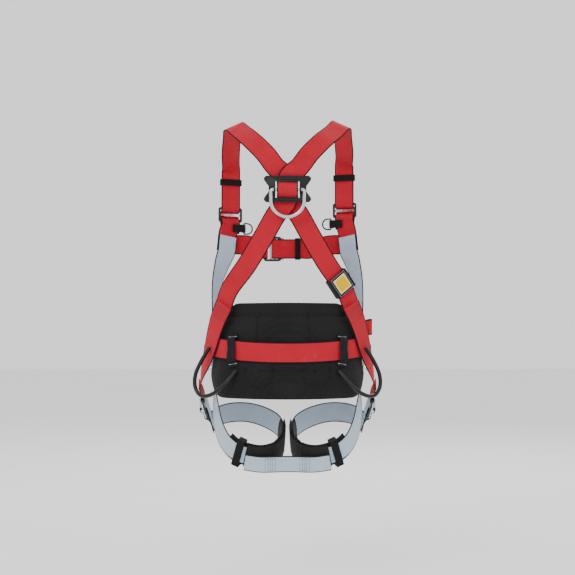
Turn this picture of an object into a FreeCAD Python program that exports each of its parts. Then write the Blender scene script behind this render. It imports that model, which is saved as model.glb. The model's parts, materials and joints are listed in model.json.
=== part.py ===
"""Full body safety harness with a padded waist belt, in the shape that it has when it is worn.

Millimetres. +X is the wearer's right, +Y is in front of the wearer and +Z is up.
The origin is the middle of the wearer's waist, level with the belt.
"""

import FreeCAD, Part
import math
import os

from FreeCAD import Vector

# Webbing and padding
WEBBING = 45.0
WEBBING_THICK = 2.0
NARROW_WEBBING = 40.0
GAP = 0.5
LAYER = WEBBING_THICK + GAP
CROSSING = LAYER + 1.25
PAD_THICK = 12.0
LEG_PAD_WIDE = 60.0
LEG_PAD_THICK = 7.0
LEG_KEEPER_LONG = 17.0
LEG_KEEPER_ROOM = 2.4

# Hardware
PLATE_THICK = 4.0
RING_ROD = 4.0
DORSAL_RING_HALF = 35.5
DORSAL_RING_DROP = 58.0
SIDE_RING_HALF = 29.0
SIDE_RING_DROP = 48.0
SLOT_CORNER = 1.2
SMALL_ROD = 1.75
SMALL_RING_HALF = 12.0
SMALL_RING_DROP = 20.0
TOOL_TUBE = 4.4
RUNNING = 0.08

# Heights of the main pieces above the belt
CREST = 493.0
DORSAL = 348.0
ADJUSTER = 310.0
CHEST = 232.0
SEAM = 81.0
LEG_BUCKLE = -117.0
CHEST_BUCKLE_X = -34.0
KEEPER_X = 109.0
SIDE_RING_ANGLE = 11.0
SIDE_RING_HEIGHT = 4.0
FRONT_ANGLE = 90.0
COVER_THICK = 1.5
SLEEVE_DEEP = 12.5
SLEEVE_THICK = 1.2
SLEEVE_ROOM = 3.6
PAD_TRIM = 3

# The wearer's body: height, half width, half depth, middle
BODY = [
    (-260, 160, 100, -4),
    (-190, 170, 114, -10),
    (-100, 165, 117, -9),
    (0, 151, 104, -2),
    (110, 143, 97, 4),
    (230, 168, 108, 2),
    (330, 190, 117, 0),
    (430, 192, 106, -4),
    (520, 150, 80, -6),
]
ROUNDNESS = 2.4


def body_at(height):
    """Half width, half depth and middle of the body, eased between the heights above."""
    height = min(max(height, BODY[0][0]), BODY[-1][0])
    for low, high in zip(BODY, BODY[1:]):
        if height <= high[0]:
            t = (height - low[0]) / (high[0] - low[0])
            t = t * t * (3 - 2 * t)
            return [a + (b - a) * t for a, b in zip(low[1:], high[1:])]


def round_body(degrees, height, off):
    """A point off the body's side, at an angle from +X towards +Y, and the way out there."""
    wide, deep, middle = body_at(height)
    c, s = math.cos(math.radians(degrees)), math.sin(math.radians(degrees))
    x = wide * math.copysign(abs(c) ** (2 / ROUNDNESS), c)
    y = deep * math.copysign(abs(s) ** (2 / ROUNDNESS), s)
    out = Vector(
        math.copysign(abs(x / wide) ** (ROUNDNESS - 1), x) / wide,
        math.copysign(abs(y / deep) ** (ROUNDNESS - 1), y) / deep,
        0,
    ).normalize()
    return Vector(x, y + middle, height) + out * off, out


def over_body(x, height, off, facing):
    """The same, for a distance x from the middle, on the back (facing -1) or the front (1)."""
    wide = body_at(height)[0]
    turn = math.degrees(math.acos(math.copysign(min(abs(x) / wide, 1) ** (ROUNDNESS / 2), x)))
    return round_body(facing * turn, height, off)


def eased(points, steps):
    """A smooth curve through points, with that many steps between each two."""
    ends = [points[0] * 2 - points[1]] + list(points) + [points[-1] * 2 - points[-2]]
    curve = []
    for a, b, c, d in zip(ends, ends[1:], ends[2:], ends[3:]):
        for i in range(steps):
            t = i / steps
            curve.append(
                (b * 2 + (c - a) * t + (a * 2 - b * 5 + c * 4 - d) * t**2
                 + (b * 3 - a - c * 3 + d) * t**3) * 0.5
            )
    return curve + [points[-1]]


def directions(points):
    """Unit directions along a line of points."""
    last = len(points) - 1
    return [
        (points[min(i + 1, last)] - points[max(i - 1, 0)]).normalize() for i in range(len(points))
    ]


def skin(grid, closed_rows):
    """Triangles over a grid of points, whose rows may each be a closed ring."""
    faces = []
    for low, high in zip(grid, grid[1:]):
        count = len(low)
        for i in range(count if closed_rows else count - 1):
            j = (i + 1) % count
            faces += [(low[i], low[j], high[j]), (low[i], high[j], high[i])]
    return faces


def cap(ring, turned):
    """Triangles that close one end ring from its middle."""
    middle = sum(ring, Vector()) * (1 / len(ring))
    faces = [(middle, ring[i], ring[(i + 1) % len(ring)]) for i in range(len(ring))]
    return [face[::-1] for face in faces] if turned else faces


def solid_of(triangles):
    faces = [Part.Face(Part.makePolygon([a, b, c, a])) for a, b, c in triangles]
    solid = Part.Solid(Part.makeShell(faces))
    if solid.Volume < 0:
        solid.reverse()
    return solid


def lofted(rings, looped=False):
    """A solid through rings of points, closed by its two ends or into a loop."""
    if looped:
        return solid_of(skin(rings + rings[:1], True))
    return solid_of(skin(rings, True) + cap(rings[0], True) + cap(rings[-1], False))


def webbing(stations, width=WEBBING, thick=WEBBING_THICK, looped=False):
    """A flat strap through stations, each a point and the way across the strap there."""
    points = [point for point, across in stations]
    ways = directions(points)
    if looped:
        ways[0] = ways[-1] = (points[1] - points[-1]).normalize()
    rings = []
    for (point, across), way in zip(stations, ways):
        across = (across - way * across.dot(way)).normalize()
        out = across.cross(way)
        rings.append([
            point + across * (a * width / 2) + out * (b * thick / 2)
            for a, b in ((-1, -1), (1, -1), (1, 1), (-1, 1))
        ])
    return lofted(rings, looped)


def route(places, steps=4):
    """Stations of a strap that lies on surfaces: places are a point and the way out there."""
    points = eased([point for point, out in places], steps)
    outs = eased([out for point, out in places], steps)
    return [
        (point, way.cross(out).normalize()) for point, out, way in zip(points, outs, directions(points))
    ]


def raised(stations, lift):
    """Stations that far off a strap's own, on its outer side or, below 0, its inner side."""
    ways = directions([point for point, across in stations])
    return [
        (point + across.cross(way).normalize() * lift, across) for (point, across), way in zip(stations, ways)
    ]


def tube(points, radius, sides=10, looped=False):
    """A round bar along points, or a closed ring of it."""
    ways = directions(points)
    if looped:
        ways = [
            (points[(i + 1) % len(points)] - points[i - 1]).normalize() for i in range(len(points))
        ]
    side = ways[0].cross(Vector(0.31, 0.55, 0.77)).normalize()
    rings = []
    for point, way in zip(points, ways):
        side = (side - way * side.dot(way)).normalize()
        up = way.cross(side)
        rings.append([
            point + (side * math.cos(a) + up * math.sin(a)) * radius
            for a in (2 * math.pi * i / sides for i in range(sides))
        ])
    return lofted(rings, looped)


def save(shape, node):
    shape.exportStep(f"parts/{node}.step")
    print(f"{node:26s} solids {len(shape.Solids)} volume {shape.Volume:10.0f} valid {shape.isValid()}")


class Seat:
    """A place for hardware: local x is across the strap, y is along it and z is outward."""

    def __init__(self, origin, along, out):
        self.origin = origin
        self.along = Vector(along).normalize()
        self.out = (out - self.along * out.dot(self.along)).normalize()
        self.across = self.along.cross(self.out)

    def point(self, x, y, z):
        return self.origin + self.across * x + self.along * y + self.out * z

    def set(self, shape):
        a, b, c, o = self.across, self.along, self.out, self.origin
        placed = shape.copy()
        placed.Placement = FreeCAD.Placement(FreeCAD.Matrix(
            a.x, b.x, c.x, o.x, a.y, b.y, c.y, o.y, a.z, b.z, c.z, o.z, 0, 0, 0, 1
        ))
        return placed

    def strap(self, line, facing=1):
        """Stations along points given as (y, z) in the seat; facing -1 is a strap that comes in backwards."""
        return [(self.point(0, y, z), self.across * facing) for y, z in line]


def rounded_plate(wide, long, low, high, corner, centre=0.0):
    """A flat plate with round corners, across by along, between two levels."""
    box = Part.makeBox(wide, long, high - low, Vector(-wide / 2, centre - long / 2, low))
    upright = [e for e in box.Edges if abs(e.tangentAt(e.FirstParameter).z) > 0.9]
    return box.makeFillet(corner, upright)


def fold(y, z, radius, turns):
    """A half turn of strap about a bar at (y, z), from below it to above it."""
    return [
        (y + turns * radius * math.sin(a), z - radius * math.cos(a))
        for a in (math.pi * i / 6 for i in range(7))
    ]


PARKING_REACH = SMALL_ROD + 0.4 + WEBBING_THICK / 2

# ---- pass-through buckles -------------------------------------------------------------------
FRAME_WIDE, FRAME_LONG, FRAME_SLOT = 57.0, 40.0, 27.0
CATCH_WIDE, CATCH_LONG, CATCH_SLOT = 54.0, 33.0, 23.0
CATCH_Y = 10.0
CATCH_LOW, CATCH_HIGH = 2.5, 5.7
SLOT_WIDE = 46.6
BAR_Y, BAR_LONG, BAR_THICK = 6.0, 6.0, 4.0
BAR_LOW = CATCH_HIGH + 0.25
BAR_TRAVEL = 1.5
UNDER = -PLATE_THICK / 2 - GAP - WEBBING_THICK / 2


def buckle_frame():
    plate = rounded_plate(FRAME_WIDE, FRAME_LONG, -PLATE_THICK / 2, PLATE_THICK / 2, 6)
    slot = rounded_plate(SLOT_WIDE, FRAME_SLOT, -PLATE_THICK, PLATE_THICK, 2)
    return plate.cut(slot)


def buckle_catch():
    plate = rounded_plate(CATCH_WIDE, CATCH_LONG, CATCH_LOW, CATCH_HIGH, 5, CATCH_Y)
    slot = rounded_plate(SLOT_WIDE, CATCH_SLOT, 0, 2 * CATCH_HIGH, SLOT_CORNER, CATCH_Y)
    return plate.cut(slot)


def grip_bar(wide, y, low):
    """The sliding bar, which lies across the slot, with a ridged top."""
    bar = Part.makeBox(wide, BAR_LONG, BAR_THICK, Vector(-wide / 2, y - BAR_LONG / 2, low))
    ridges = [
        Part.makeBox(0.8, BAR_LONG + 2, 1.2, Vector(-wide / 2 + i * wide / 12 - 0.4, y - BAR_LONG / 2 - 1,
                                                    low + BAR_THICK - 0.5))
        for i in range(1, 12)
    ]
    for ridge in ridges:
        bar = bar.cut(ridge)
    return bar


def frame_loop(tail=34.0):
    """(y, z) of the fixed strap round the frame's end bar, from its sewn tail to the frame."""
    bar_y = -(FRAME_LONG + FRAME_SLOT) / 4
    near = -FRAME_LONG / 2
    turn = fold(bar_y + 2.4, 0, -UNDER, 1)
    over = [(near - 0.5, -UNDER - 0.2), (near - 5, UNDER + LAYER + 1), (near - 9, UNDER + LAYER)]
    return [(near - 1, UNDER)] + turn + over + [(near - tail, UNDER + LAYER)]


def bar_loop(frame_far, tail=60.0):
    """(y, z) of the adjustable strap, from beyond the frame, round the sliding bar and back."""
    top = BAR_LOW + BAR_THICK + GAP + WEBBING_THICK / 2
    left = BAR_Y - BAR_LONG / 2 - BAR_TRAVEL - GAP - 1.2
    right = BAR_Y + BAR_LONG / 2 + BAR_TRAVEL + GAP + 1.2
    rail = CATCH_HIGH + GAP + WEBBING_THICK / 2
    far = CATCH_Y + CATCH_LONG / 2
    return [
        (frame_far, UNDER), (8, UNDER), (3, UNDER + 0.4), (left + 1.2, UNDER + 2.2),
        (left, UNDER + 5), (left, BAR_LOW + 2), (left + 0.5, top - 0.9), (left + 2.0, top),
        (right - 2.4, top), (right - 0.6, top - 1.0), (right + 0.4, rail + 1), (right + 2.2, rail),
        (far, rail), (far + 3, rail - 1), (far + 8, UNDER + LAYER + 1.2),
        (far + 12, UNDER + LAYER), (far + tail, UNDER + LAYER),
    ]


def join(*lines):
    """One list of stations, thinned where two of them nearly meet."""
    joined = []
    for line in lines:
        for station in line:
            if not joined or (station[0] - joined[-1][0]).Length > 0.8:
                joined.append(station)
    return joined


def buckle(name, seat, side=""):
    save(seat.set(buckle_frame()), f"{name}_buckle_frame{side}")
    save(seat.set(buckle_catch()), f"{name}_buckle_catch{side}")
    save(seat.set(grip_bar(CATCH_WIDE - 2, BAR_Y, BAR_LOW)), f"{name}_buckle_bar{side}")


# ---- dorsal plate and rings -----------------------------------------------------------------
PLATE_STAND = 8.8
PIVOT_STAND = 17.2
EAR_HALF, WAIST_HALF = 51.0, 40.5
PLATE_TOP, PLATE_FOOT = 30.0, -27.0
WINDOW_HALF = 25.8
WINDOW_TALL = 35.0
BEARING = 4.0


def back_point(x, height, stand):
    return over_body(x, height, stand, -1)


def dorsal_plane():
    """The plate is flat: how far behind the origin its inner face is."""
    return over_body(0, DORSAL, 0, -1)[0].y


EAR_ROUND = 5.0


def dorsal_plate():
    """A flat moulding with four ears, a narrow waist and one window, plus two ring bearings."""
    y = dorsal_plane() - PLATE_STAND
    corners = [
        (EAR_HALF - EAR_ROUND, PLATE_TOP), (EAR_HALF, PLATE_TOP - EAR_ROUND),
        (EAR_HALF - 1, PLATE_TOP - 2 * EAR_ROUND), (WAIST_HALF, 7), (WAIST_HALF, -4),
        (EAR_HALF - 1, PLATE_FOOT + 2 * EAR_ROUND), (EAR_HALF, PLATE_FOOT + EAR_ROUND),
        (EAR_HALF - EAR_ROUND, PLATE_FOOT),
    ]
    outline = corners + [(-x, z) for x, z in corners[::-1]]
    wire = Part.makePolygon([Vector(x, y, DORSAL + z) for x, z in outline + outline[:1]])
    plate = Part.Face(wire).extrude(Vector(0, -PLATE_THICK, 0))
    upright = [e for e in plate.Edges if abs(e.tangentAt(e.FirstParameter).y) > 0.9]
    plate = plate.makeFillet(2.5, upright)
    corner = Vector(-WINDOW_HALF, y - 2 * PLATE_THICK, DORSAL - WINDOW_TALL / 2)
    window = Part.makeBox(2 * WINDOW_HALF, 3 * PLATE_THICK, WINDOW_TALL, corner)
    plate = plate.cut(window)
    pivot = dorsal_plane() - PIVOT_STAND
    for side in (-1, 1):
        left = WINDOW_HALF if side > 0 else -WINDOW_HALF - BEARING
        base = Part.makeBox(BEARING, y - pivot, 14, Vector(left, pivot, DORSAL - 7))
        round_end = Part.makeCylinder(7, BEARING, Vector(left, pivot, DORSAL), Vector(1, 0, 0))
        plate = plate.fuse([base, round_end])
    bore = Part.makeCylinder(RING_ROD + RUNNING, 80, Vector(-40, pivot, DORSAL), Vector(1, 0, 0))
    for z, deep in ((PLATE_TOP - 6, 2.0), (PLATE_FOOT + 6, 2.0)):
        rib = Part.makeBox(48, deep, 2.4, Vector(-24, y - PLATE_THICK - deep, DORSAL + z - 1.2))
        plate = plate.fuse(rib)
    return plate.cut(bore).removeSplitter()


def dorsal_ring():
    """A forged D whose bar is a true cylinder in the bearings."""
    pivot = dorsal_plane() - PIVOT_STAND
    centre = Vector(0, pivot, DORSAL)
    return forged_d(DORSAL_RING_HALF, DORSAL_RING_DROP, RING_ROD, centre, Vector(1, 0, 0), Vector(0, 0, -1))


def forged_d(half, drop, rod, centre, along, down):
    """A closed D of round bar: pivot bar along one way and the bow hanging the other way."""
    corner = 1.35 * rod
    low = drop - half

    def p(x, z):
        return centre + along * x + down * z

    bend = math.sqrt(0.5) * corner
    edges = [
        Part.LineSegment(p(-half + corner, 0), p(half - corner, 0)).toShape(),
        Part.Arc(p(half - corner, 0), p(half - corner + bend, corner - bend), p(half, corner)).toShape(),
        Part.LineSegment(p(half, corner), p(half, low)).toShape(),
        Part.Arc(p(half, low), p(0, drop), p(-half, low)).toShape(),
        Part.LineSegment(p(-half, low), p(-half, corner)).toShape(),
        Part.Arc(p(-half, corner), p(-half + corner - bend, corner - bend), p(-half + corner, 0)).toShape(),
    ]
    circle = Part.Wire(Part.makeCircle(rod, p(0, 0), along))
    return Part.Wire(edges).makePipeShell([circle], True, True)


# ---- strap routes ---------------------------------------------------------------------------
def shoulder_places(side, layer):
    """The back of one shoulder strap, from the crest to the seam above the far hip.

    side is 1 for the right shoulder; layer lifts the strap that lies on top.
    """
    lift = WEBBING_THICK / 2 + 0.6 + layer * CROSSING
    places = [
        (Vector(side * 120, -18, CREST + lift), Vector(side * 0.42, -0.05, 0.9)),
        (Vector(side * 102, -52, 480), Vector(side * 0.30, -0.50, 0.80)),
        (Vector(side * 77, -84 - lift, 457), Vector(side * 0.16, -0.80, 0.55)),
        (Vector(side * 48, -104 - lift, 427), Vector(side * 0.06, -0.93, 0.34)),
        (Vector(side * 27, -112 - lift, 399), Vector(side * 0.02, -0.98, 0.18)),
    ]
    y = dorsal_plane()
    flat = Vector(0, -1, 0)
    over_bar = PIVOT_STAND + RING_ROD + 0.4 + lift - 0.6
    wider = layer * 3.0
    above = [
        (10, 36, lift), (4, 29, lift), (1.4, 22.5, lift), (0.6, 15.5 + wider, lift + 1),
        (0.4, 11.5 + wider, lift + 6), (0.2, 8 + wider, over_bar - 6), (0, 4.5, over_bar),
    ]
    weave = above + [(-x, -z, stand) for x, z, stand in above[::-1]]
    places += [(Vector(side * x, y - stand, DORSAL + z), flat) for x, z, stand in weave]
    for x, z, more in ((-25, 294, 0), (-52, 246, 0), (-85, 188, 3), (-116, 134, 10)):
        point, out = back_point(side * x, z, lift + more)
        places.append((point, out * 0.75 + flat * 0.25))
    places.append((Vector(-side * 143, -76 - layer * LAYER, SEAM), Vector(-side * 0.55, -0.83, 0)))
    return places


FRONT_X = 128.0


def front_seat(side, height, stand=0.0):
    """A place on the front of the chest, tangent to the strap that runs down it."""
    low, out = over_body(side * FRONT_X, height - 40, 0, 1)
    high, _ = over_body(side * FRONT_X, height + 40, 0, 1)
    point, _ = over_body(side * FRONT_X, height, stand, 1)
    return Seat(point, high - low, out * 0.6 + Vector(0, 0.4, 0))


def adjuster_seat(side):
    seat = front_seat(side, ADJUSTER + side * 5)
    seat.origin = seat.origin + seat.out * 8
    return seat


ADJUSTER_WIDE, ADJUSTER_LONG, ADJUSTER_SLOT = 56.0, 34.0, 24.0


def adjuster_frame():
    plate = rounded_plate(ADJUSTER_WIDE, ADJUSTER_LONG, -PLATE_THICK / 2, PLATE_THICK / 2, 5)
    return plate.cut(rounded_plate(SLOT_WIDE, ADJUSTER_SLOT, -PLATE_THICK, PLATE_THICK, 2))


ADJUSTER_BAR_LOW = PLATE_THICK / 2 + 0.25


def adjuster_loop():
    """(y, z) of the shoulder strap, upwards: tail, over the low rail and the bar, under the top rail."""
    top = ADJUSTER_BAR_LOW + BAR_THICK + GAP + WEBBING_THICK / 2
    half = BAR_LONG / 2 + BAR_TRAVEL + GAP + 1.2
    rail = PLATE_THICK / 2 + GAP + WEBBING_THICK / 2 + LAYER
    low = -ADJUSTER_LONG / 2
    tail = UNDER + 2 * LAYER
    return [
        (low - 26, tail), (low - 16, tail), (low - 9, tail + 1.5), (low - 2, rail - 0.3),
        (low + 2, rail), (-half - 3.5, rail), (-half - 0.5, top - 0.4), (1.5 - half, top), (half - 1.8, top),
        (half - 0.4, top - 0.8), (half, ADJUSTER_BAR_LOW), (half, UNDER + 5), (half + 0.9, UNDER + 2.4),
        (9.5, UNDER + 0.6), (15, UNDER), (26, UNDER),
    ]


def shoulder_strap(side, layer):
    """One strap: tail, adjuster, up the chest, over the shoulder and across the back."""
    seat = adjuster_seat(side)
    chest = [(seat.point(0, y, UNDER), seat.out) for y in (40, 62, 84, 106)]
    chest += [
        (Vector(side * 128, 66, 446), Vector(side * 0.35, 0.75, 0.5)),
        (Vector(side * 124, 26, 480), Vector(side * 0.42, 0.35, 0.85)),
    ]
    return join(seat.strap(adjuster_loop()), route(chest + shoulder_places(side, layer)))


def riser(side):
    """The red webbing folded round the adjuster's low rail, and down past the chest strap."""
    seat = adjuster_seat(side)
    bar_y = -(ADJUSTER_LONG + ADJUSTER_SLOT) / 4
    low = -ADJUSTER_LONG / 2
    fold_z = PLATE_THICK / 2 + GAP + WEBBING_THICK / 2
    over = [(low - 2, fold_z), (low - 7, UNDER + LAYER + 1), (low - 12, UNDER + LAYER)]
    loop = fold(bar_y + 1.5, 0, fold_z, 1) + over + [(low - 23, UNDER + LAYER)]
    down = [riser_place(side, height, stand) for height, stand in ((220, 4.5), (240, 4.5), (262, 4.5))]
    down.append((seat.point(0, -26, UNDER), seat.out))
    return join(route(down), seat.strap([(low, UNDER)] + loop))


def riser_place(side, height, stand):
    """The riser and the grey strap under it drift outwards as they go down."""
    drift = (ADJUSTER - height) / 9
    point, out = over_body(side * (FRONT_X + drift), height, stand, 1)
    return point, (out + Vector(0, 0.5, 0)).normalize()


def thigh(side, x, y, z, out):
    return Vector(side * x, y, z), Vector(side * out[0], out[1], out[2]).normalize()


LEG_LINE = [
    # distance from the middle, front to back, height, way out
    (162, 4, -66, (1, 0, 0)),
    (161, -14, -92, (1, -0.15, 0)),
    (157, -42, -128, (0.96, -0.45, -0.1)),
    (149, -70, -164, (0.85, -0.65, -0.2)),
    (134, -95, -194, (0.60, -0.85, -0.35)),
    (112, -110, -213, (0.35, -0.95, -0.4)),
    (84, -116, -223, (0.12, -0.95, -0.42)),
    (56, -113, -227, (-0.05, -0.95, -0.42)),
    (30, -102, -222, (-0.35, -0.85, -0.4)),
    (14, -72, -210, (-0.85, -0.45, -0.25)),
    (8.5, -30, -198, (-1, -0.1, -0.1)),
    (8.5, 10, -190, (-1, 0.05, -0.05)),
    (14, 46, -180, (-0.9, 0.4, 0)),
    (31, 78, -166, (-0.55, 0.8, 0)),
    (62, 100, -153, (-0.15, 0.98, 0)),
    (96, 106, -146, (0.2, 0.97, 0)),
    (130, 92, -146, (0.55, 0.8, 0)),
    (156, 68, -152, (0.85, 0.5, 0)),
]
PAD_FIRST, COVER_FIRST, PAD_LAST = 4, 5, 13
SUB_PELVIC = (
    (-92, -118, -236), (-56, -117, -241), (0, -116, -240), (56, -117, -241), (92, -118, -236),
)


def leg_places(side):
    return [thigh(side, *row) for row in LEG_LINE]


def leg_seat(side):
    """The leg buckle hangs from the hip strap and leans in and forwards at its foot."""
    down_strap = Vector(-side * 0.25, 0.45, -0.86)
    return Seat(Vector(side * 184, 10, LEG_BUCKLE), down_strap, Vector(side, 0.1, -0.28))


def hip_strap(side):
    """From the seam over the pad, down past the belt and round the leg buckle's frame."""
    seat = leg_seat(side)
    places = [
        (Vector(side * 137, -89.5, SEAM + 20), Vector(side * 0.50, -0.86, 0)),
        (Vector(side * 151, -79, SEAM - 12), Vector(side * 0.62, -0.78, 0)),
        (Vector(side * 160, -66, 42), Vector(side * 0.72, -0.69, 0)),
        (Vector(side * 168, -54, 12), Vector(side * 0.80, -0.60, 0)),
        (Vector(side * 177, -38, -18), Vector(side * 0.90, -0.44, 0)),
        (Vector(side * 187, -20, -48), Vector(side * 0.98, -0.2, 0.05)),
        (seat.point(0, -44, UNDER + 1), seat.out),
        (seat.point(0, -30, UNDER), seat.out),
    ]
    return join(route(places), seat.strap(frame_loop(30)))


# ---- waist ----------------------------------------------------------------------------------
BACK_ANGLE = 270.0


def pad_stations():
    """Angle, foot and head of the waist pad, from the wearer's left round the back to the right."""
    half_turn = 86.0
    count = 36
    for i in range(count + 1):
        u = -1 + 2 * i / count
        side = max(0.0, (abs(u) - 0.52) / 0.48)
        head = 107 - 3 * abs(u) - 84 * side**1.5
        foot = -102 + 2 * abs(u) + 48 * max(0.0, (abs(u) - 0.62) / 0.38) ** 1.8
        yield BACK_ANGLE + u * half_turn, foot, head, u


def waist_pad():
    """A padded panel round the back and sides, thinner at its rim."""
    rings = []
    rows = 7
    for degrees, foot, head, u in pad_stations():
        end = min(1.0, (1 - abs(u)) / 0.05)
        inner, outer = [], []
        for k in range(rows):
            v = k / (rows - 1)
            z = foot + (head - foot) * v
            rim = min(1.0, 4 * min(v, 1 - v) + 0.35)
            thick = PAD_THICK * rim * (0.4 + 0.6 * end)
            inner.append(round_body(degrees, z, 1.5)[0])
            outer.append(round_body(degrees, z, 1.5 + thick)[0])
        rings.append(inner + outer[::-1])
    return lofted(rings)


def belt_stand(degrees):
    """How far the belt stands off the body: over the pad at the back and close in front."""
    turned = abs(((degrees - BACK_ANGLE + 180) % 360) - 180)
    over = 1.5 + PAD_THICK + 4.9
    return over - (over - 4.0) * min(1.0, max(0.0, (turned - 84) / 66))


def belt_height(degrees):
    turned = abs(((degrees - BACK_ANGLE + 180) % 360) - 180)
    return 4.0 - 6.0 * math.cos(math.radians(min(turned, 90) * 2)) * 0.9


def belt_places(first, last, lift=0.0, step=7.0):
    count = max(2, round(abs(last - first) / step))
    places = []
    for i in range(count + 1):
        degrees = first + (last - first) * i / count
        places.append(round_body(degrees, belt_height(degrees), belt_stand(degrees) + lift))
    return places


def belt_seat():
    """The belt buckle at the front; the frame is on the wearer's left."""
    point, out = round_body(90, belt_height(90), 8)
    return Seat(point, Vector(1, 0, 0), out)


def chest_seat():
    """The chest buckle sits a little to the wearer's left."""
    point, out = over_body(CHEST_BUCKLE_X, CHEST - 5, 10, 1)
    return Seat(point, Vector(1, 0.04, 0), out)


def keeper(seat, inner_wide, inner_deep, long, thick=1.6):
    """An elastic band: a closed sleeve of thin walls round the strap's layers."""
    outer = rounded_plate(inner_wide + 2 * thick, long, -inner_deep / 2 - thick, inner_deep / 2 + thick, 0.5)
    inner = Part.makeBox(
        inner_wide, 2 * long, inner_deep, Vector(-inner_wide / 2, -long, -inner_deep / 2)
    )
    return seat.set(outer.cut(inner))


def keeper_strip(side):
    """A black strip sewn to the pad above and below the belt, which runs behind it."""
    on_pad = 1.5 + PAD_THICK + GAP + 1.2 + WEBBING_THICK / 2
    over_belt = belt_stand(BACK_ANGLE) + LAYER + 2
    heights = ((38, on_pad), (31, on_pad + 0.5), (28.5, over_belt), (10, over_belt),
               (-19, over_belt), (-22, on_pad + 0.5), (-33, on_pad))
    return [(point, Vector(0, 0, -1).cross(out)) for point, out in (
        back_point(side * KEEPER_X, z, stand) for z, stand in heights)]


def side_ring_seat(side):
    """The ring's bar: local x runs along the belt, y is down and z is outward."""
    degrees = SIDE_RING_ANGLE if side > 0 else 180 - SIDE_RING_ANGLE
    stand = belt_stand(degrees) + 2 * LAYER + 2 + RING_ROD + GAP + WEBBING_THICK / 2
    point, out = round_body(degrees, SIDE_RING_HEIGHT, stand)
    return Seat(point, Vector(0, 0, -1), out)


def side_ring_tab(side):
    """Webbing sewn to the belt and folded up round the ring's bar."""
    seat = side_ring_seat(side)
    reach = RING_ROD + GAP + WEBBING_THICK / 2
    line = [(-27, -reach), (-14, -reach)] + fold(0, 0, reach, 1)
    line += [(-6, reach - 0.6), (-14, reach - 4.5), (-20, -reach + LAYER + 0.6), (-27, -reach + LAYER)]
    return seat.strap(line)


def front_strap(side):
    """The grey strap from the chest, behind the riser, down the side to the belt."""
    degrees = SIDE_RING_ANGLE if side > 0 else 180 - SIDE_RING_ANGLE
    places = [riser_place(side, height, 3.3 - LAYER) for height in (255, 238, 220)]
    places += [
        (Vector(side * 149, 66, 190), Vector(side * 0.70, 0.70, 0)),
        (Vector(side * 157, 50, 158), Vector(side * 0.86, 0.50, 0)),
        (Vector(side * 161, 40, 122), Vector(side * 0.93, 0.36, 0)),
        (Vector(side * 162, 34, 84), Vector(side * 0.96, 0.27, 0)),
    ]
    for height in (45, 20, -6):
        places.append(round_body(degrees, height, belt_stand(degrees) + LAYER + 1.5))
    return route(places)


def tool_loop(side):
    points = [
        (110, -110, -40), (130, -120, -64), (152, -109, -84), (172, -95, -95), (190, -81, -94),
        (201, -71, -76), (200, -67, -50), (188, -63, -22), (170.2, -59.9, 8),
    ]
    return tube(eased([Vector(side * x, y, z) for x, y, z in points], 5), TOOL_TUBE)


def parking_seat(side):
    """A small ring's bar beside the riser: local y points inboard."""
    seat = adjuster_seat(side)
    origin = seat.point(side * 31, -31, UNDER - LAYER - 2.4 + PARKING_REACH)
    return Seat(origin, seat.across * side, seat.out)


def parking_tab(side):
    sewn = [(-27, -PARKING_REACH), (-10, -PARKING_REACH)]
    line = sewn + fold(0, 0, PARKING_REACH, 1) + [(-5, PARKING_REACH)]
    return webbing(parking_seat(side).strap(line), 18)


def sub_pelvic():
    places = [
        (Vector(x, y, z), Vector(0.12 * x / 84, -0.95, -0.42))
        for x, y, z in SUB_PELVIC
    ]
    return webbing(route(places), NARROW_WEBBING)


TAB_WIDE = 36.0
TAB_FOLD = 1.6


def hip_tab():
    """A doubled tab of red webbing that stands out from under the right hip strap's front edge."""
    seat = Seat(Vector(172.1, -45.4, 51), Vector(0.93, 0.37, 0.12), Vector(0.37, -0.93, -0.23))
    under = [(1, -TAB_FOLD), (7, -TAB_FOLD)]
    over = [(5, TAB_FOLD), (0, TAB_FOLD + 0.6), (-7, TAB_FOLD + 3.4), (-14, TAB_FOLD + 6.7)]
    return webbing(seat.strap(under + fold(12, 0, TAB_FOLD, 1) + over), TAB_WIDE)


def nearest(stations, target):
    """The place on a strap nearest to a point: the point, the way along and the way out."""
    points = [point for point, across in stations]
    i = min(range(1, len(points) - 1), key=lambda k: (points[k] - target).Length)
    way = (points[i + 1] - points[i - 1]).normalize()
    return points[i], way, stations[i][1].cross(way)


# ---- the harness ----------------------------------------------------------------------------
os.makedirs("parts", exist_ok=True)

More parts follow.
